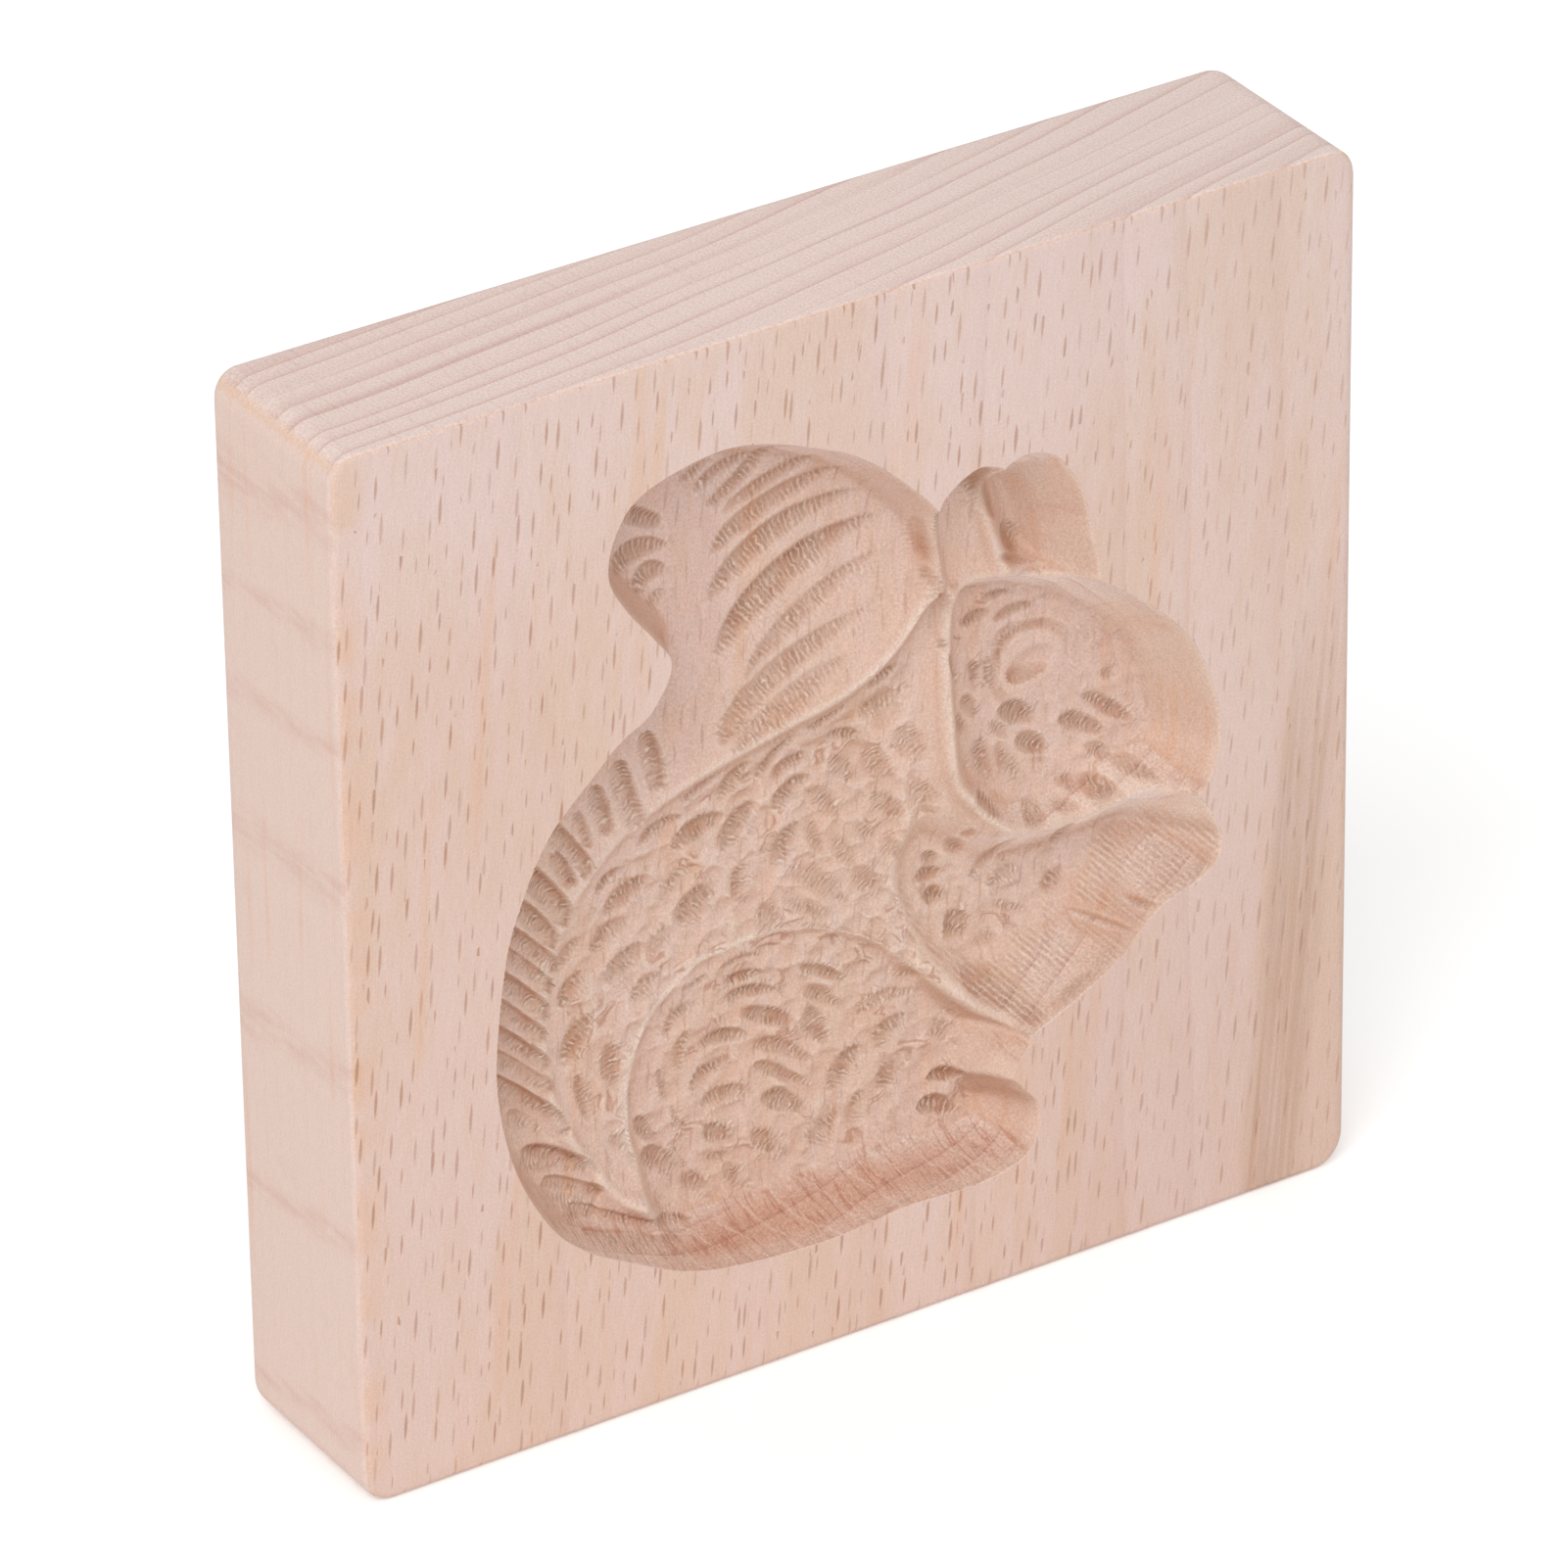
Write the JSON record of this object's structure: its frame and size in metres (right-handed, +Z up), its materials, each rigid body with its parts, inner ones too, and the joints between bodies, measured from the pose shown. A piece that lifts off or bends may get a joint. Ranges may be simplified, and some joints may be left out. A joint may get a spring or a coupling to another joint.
{
  "type": "cookie mould",
  "caption": "Square beech cookie mould with a squirrel-shaped hollow carved into its broad face; dough is pressed in, then knocked out.",
  "frame": {"origin": "middle of the flat bottom edge that the board stands on in the picture", "axes": "+Z up along the grain, +X to the right as seen from the carved face, +Y through the thickness from the carved face (at -Y) to the plain back"},
  "size_m": [0.1, 0.02, 0.1],
  "materials": {
    "beech": "bare sanded beech, matt, with fine dark ray flecks"
  },
  "bodies": {
    "root": {"mould_block": "beech"}
  },
  "joints": []
}
